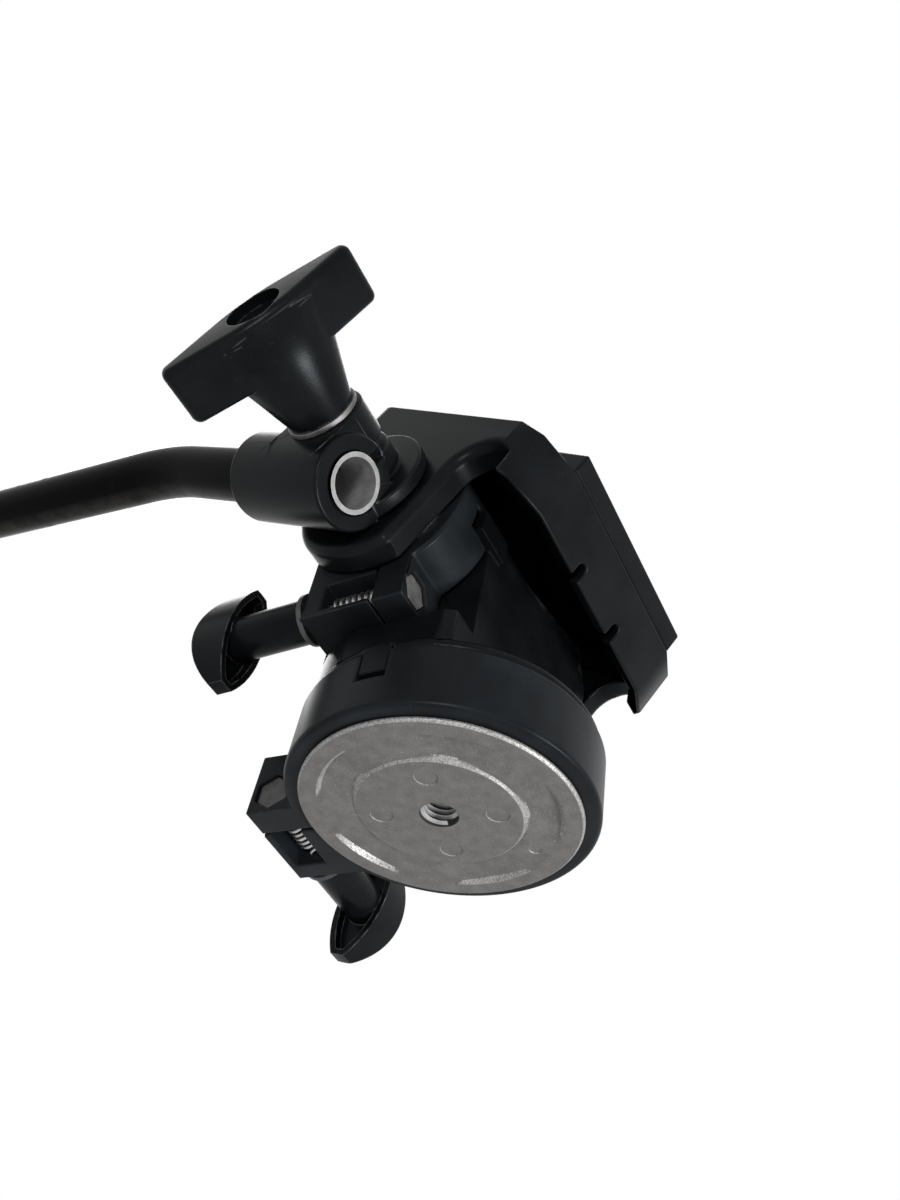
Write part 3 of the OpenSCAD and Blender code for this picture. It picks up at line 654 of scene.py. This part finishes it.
def knob_bar():
    piece = cylinder(1.0, T_BAR_FROM, T_TOP, 4)
    piece.name = "t_knob_finished"
    bpy.ops.object.mode_set(mode="EDIT")
    bpy.ops.mesh.select_all(action="SELECT")
    bpy.ops.transform.resize(value=(T_TAPER_POINT, T_HALF_WIDTH, 1.0))
    for side in (-1, 1):
        bpy.ops.mesh.select_all(action="SELECT")
        bpy.ops.mesh.bisect(plane_co=(side * T_HALF_SPAN * MM, 0.0, 0.0), plane_no=(side, 0.0, 0.0),
                            clear_outer=True, use_fill=True)
    bpy.ops.mesh.select_mode(type="EDGE")
    select_edges(piece, lambda point: abs(point.x) < 2 * NEAR * MM)
    bpy.ops.mesh.bevel(offset=T_SOFT_MIDDLE * MM, segments=8, affect="EDGES")
    round_edges(piece, T_ROUND, 6)
    return piece


def knob_stem():
    """A tower of rings, each given by its height and its reach along and across the bar."""
    bpy.ops.object.select_all(action="DESELECT")
    bpy.ops.mesh.primitive_circle_add(vertices=96, radius=STEM_RINGS[0][1] * MM, fill_type="NGON")
    piece = bpy.context.active_object
    bpy.ops.object.mode_set(mode="EDIT")
    bpy.ops.mesh.select_all(action="SELECT")
    for last, ring in zip(STEM_RINGS, STEM_RINGS[1:]):
        extrude(0, 0, ring[0] - last[0])
        bpy.ops.transform.resize(value=(ring[1] / last[1], ring[2] / last[2], 1.0))
    bpy.ops.mesh.select_all(action="SELECT")
    bpy.ops.mesh.normals_make_consistent(inside=False)
    bpy.ops.object.mode_set(mode="OBJECT")
    return piece


t_bar = knob_bar()
boolean(t_bar, knob_stem(), "UNION")
boolean(t_bar, cylinder(T_RECESS_R, T_TOP - T_RECESS, T_TOP + BEYOND), "DIFFERENCE")
boolean(t_bar, cylinder(STUD_R, -BEYOND, STUD_SINK, 48), "DIFFERENCE")
set_in_frame(t_bar, t_frame)
stand_for(t_bar, "t_knob", T_SMOOTH_BELOW)
print("T knob faces:", len(t_bar.data.polygons))

# %% [markdown]
# Each clamp spring is a six-sided tube in the packed part. Two levels of subdivision on a merged copy
# make the wire round without moving its coils.

# %% Springs


def smooth_wire(node):
    piece = open_copy(node)
    bpy.ops.object.mode_set(mode="OBJECT")
    smoothing = piece.modifiers.new("round wire", "SUBSURF")
    smoothing.levels = 2
    smoothing.render_levels = 2
    bpy.ops.object.modifier_apply(modifier=smoothing.name)
    return close_copy(piece, node)


springs = [smooth_wire("pan_clamp_spring"), smooth_wire("tilt_clamp_spring")]
print("spring faces:", [len(piece.data.polygons) for piece in springs])

# %% [markdown]
# The recess in the base's underside isn't level: its floor rises and falls in five soft waves, so the
# bright walls on both sides of it swell and taper. The copy of the base keeps its triangles, because they
# run across the floor from rim to rim. A Displace modifier lifts the floor by a weight that follows the
# waves.

# %% Base with a waved recess
PAD_RIM = 21.9
RECESS_RIM = 29.3
RECESS_DEPTH = 1.4
MARK_DEPTH = 0.3
WAVES = 5
WAVE_TURN = math.radians(213.0)
WAVE_RISE = 1.1
BASE_ROUND = 0.15


def on_floor(point):
    away = math.hypot(point.x, point.y) / MM
    deep_enough = RECESS_DEPTH - NEAR < point.z / MM < RECESS_DEPTH + MARK_DEPTH + NEAR
    return deep_enough and PAD_RIM - NEAR < away < RECESS_RIM + NEAR


def wave_weight(point):
    turn = math.atan2(point.y, point.x) - WAVE_TURN
    return 0.5 - 0.5 * math.cos(WAVES * turn)


base = open_copy("base_plate")
bpy.ops.object.mode_set(mode="OBJECT")
waves = base.vertex_groups.new(name="waves")
floor_corners = [corner for corner in base.data.vertices if on_floor(corner.co)]
for corner in floor_corners:
    waves.add([corner.index], wave_weight(corner.co), "REPLACE")
lift = base.modifiers.new("lift", "DISPLACE")
lift.direction = "Z"
lift.mid_level = 0.0
lift.strength = -WAVE_RISE * MM
lift.vertex_group = waves.name
bpy.ops.object.modifier_apply(modifier=lift.name)
round_edges(base, BASE_ROUND, 2)
close_copy(base, "base_plate")
print("corners of the waved floor:", len(floor_corners))

# %% [markdown]
# The tripod thread shows as bright ridges in the hole of the base. A small triangle is set at the wall
# and swept by a Screw modifier, with the pitch of a sixteen to the inch thread.

# %% Tripod thread
THREAD_R = 4.7625
THREAD_PITCH = 25.4 / 16
THREAD_TURNS = 6
THREAD_FROM = 1.0
THREAD_STEPS = 40
RIDGE_R = 0.72
RIDGE_OUT = 0.2

bpy.ops.object.select_all(action="DESELECT")
ridge_place = Vector((THREAD_R - RIDGE_OUT, 0.0, THREAD_FROM)) * MM
bpy.ops.mesh.primitive_circle_add(
    vertices=3, radius=RIDGE_R * MM, location=ridge_place, rotation=(math.pi / 2, 0.0, math.pi))
thread = bpy.context.active_object
thread.name = "tripod_thread_ridges"
bpy.ops.object.mode_set(mode="EDIT")
bpy.ops.mesh.select_all(action="SELECT")
bpy.ops.transform.rotate(value=math.pi / 2, orient_axis="Y", center_override=thread.location)
bpy.ops.object.mode_set(mode="OBJECT")
bpy.ops.object.transform_apply(location=True, rotation=True, scale=True)
sweep = thread.modifiers.new("sweep", "SCREW")
sweep.axis = "Z"
sweep.screw_offset = THREAD_PITCH * MM
sweep.iterations = THREAD_TURNS
sweep.steps = THREAD_STEPS
sweep.render_steps = THREAD_STEPS
bpy.ops.object.modifier_apply(modifier=sweep.name)
bpy.ops.object.mode_set(mode="EDIT")
bpy.ops.mesh.select_all(action="SELECT")
bpy.ops.mesh.remove_doubles(threshold=MERGE_WITHIN)
bpy.ops.mesh.fill_holes(sides=4)
bpy.ops.mesh.normals_make_consistent(inside=False)
bpy.ops.object.mode_set(mode="OBJECT")
bpy.ops.object.shade_smooth_by_angle(angle=math.radians(ROUND_BELOW))
thread.data.materials.append(finish_of_slot["plain_steel"])
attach(thread, "base")
print("thread reaches:", [round(value / MM, 2) for value in thread.dimensions])

# %% [markdown]
# The picture has a plain white ground and soft light. The head is seen from underneath, as if a stand
# held it, so the floor lies well below the camera. A Light Path node tells what a ray is for: what the
# camera, reflections and glass see of the floor and the world is nearly white, and the light that the
# world sheds is calmer. A share of the floor's own shading stays in the mix, which keeps the head's
# shadow.

# %% Floor and world
FLOOR = -0.9
SHED = 0.20
FLOOR_SHADE = 0.2
FLOOR_SIZE = 80.0


def seen_not_shed(tree):
    """A factor that is 1 for rays that show a surface and 0 for rays that only carry light."""
    path = tree.nodes.new("ShaderNodeLightPath")
    factor = path.outputs["Is Camera Ray"]
    for ray in ("Is Glossy Ray", "Is Transmission Ray"):
        either = tree.nodes.new("ShaderNodeMath")
        either.operation = "MAXIMUM"
        tree.links.new(factor, either.inputs[0])
        tree.links.new(path.outputs[ray], either.inputs[1])
        factor = either.outputs[0]
    return factor


def mix_by_ray(tree, output, shed, seen, share):
    """Shows one shader to the rays that see and another to the rays that light."""
    part = tree.nodes.new("ShaderNodeMath")
    part.operation = "MULTIPLY"
    part.inputs[1].default_value = share
    tree.links.new(seen_not_shed(tree), part.inputs[0])
    choose = tree.nodes.new("ShaderNodeMixShader")
    tree.links.new(part.outputs[0], choose.inputs[0])
    tree.links.new(shed, choose.inputs[1])
    tree.links.new(seen, choose.inputs[2])
    tree.links.new(choose.outputs[0], tree.nodes[output].inputs["Surface"])


bpy.ops.object.select_all(action="DESELECT")
bpy.ops.mesh.primitive_grid_add(
    x_subdivisions=8, y_subdivisions=8, size=FLOOR_SIZE, location=(0.0, 0.0, FLOOR))
floor = bpy.context.active_object
floor.name = "floor"
pale = Finish("pale_floor", Roughness=0.8, Specular_IOR_Level=0.1)
pale.feed("Base Color", pale.between(pale.noise(400, 2), grey(0.86), grey(0.90)))
glow = pale.add("ShaderNodeEmission", {}, {"Color": grey(1.0), "Strength": 1.0})
mix_by_ray(pale.tree, "Material Output", pale.shader.outputs[0], glow.outputs[0], 1 - FLOOR_SHADE)
floor.data.materials.append(pale.material)

world = bpy.data.worlds.new("studio")
bpy.context.scene.world = world
world.use_nodes = True
tree = world.node_tree
shed = tree.nodes["Background"]
shed.inputs["Color"].default_value = grey(1.0)
shed.inputs["Strength"].default_value = SHED
seen = tree.nodes.new("ShaderNodeBackground")
seen.inputs["Color"].default_value = grey(1.0)
seen.inputs["Strength"].default_value = 1.0
mix_by_ray(tree, "World Output", shed.outputs[0], seen.outputs[0], 1.0)
bpy.context.scene.view_settings.view_transform = "Standard"
print("floor at", FLOOR)

# %% [markdown]
# A small lamp behind and above the camera models the round forms. A stronger one from the picture's lower
# right lights the front wall and the base, as in the photograph, and a large one above and behind lifts
# the top for the other views.

# %% Lamps
aim = Vector((0.0, 0.0, 0.06))


def in_picture(back, down, right):
    """A way from the head, given along the axes of the picture."""
    return back * -looking + down * picture_down + right * picture_right


def lamp(name, away, size, power):
    bpy.ops.object.light_add(type="AREA", location=aim + away)
    made = bpy.context.active_object
    made.name = name
    made.data.size = size
    made.data.energy = power
    made.rotation_euler = (-away).to_track_quat("-Z", "Y").to_euler()


lamp("key", in_picture(back=0.80, down=-0.30, right=-0.10), size=0.20, power=2.8)
lamp("fill", in_picture(back=0.55, down=0.30, right=0.65), size=0.25, power=8.0)
lamp("top", Vector((0.35, 0.45, 0.90)), size=0.8, power=7.0)

# %% [markdown]
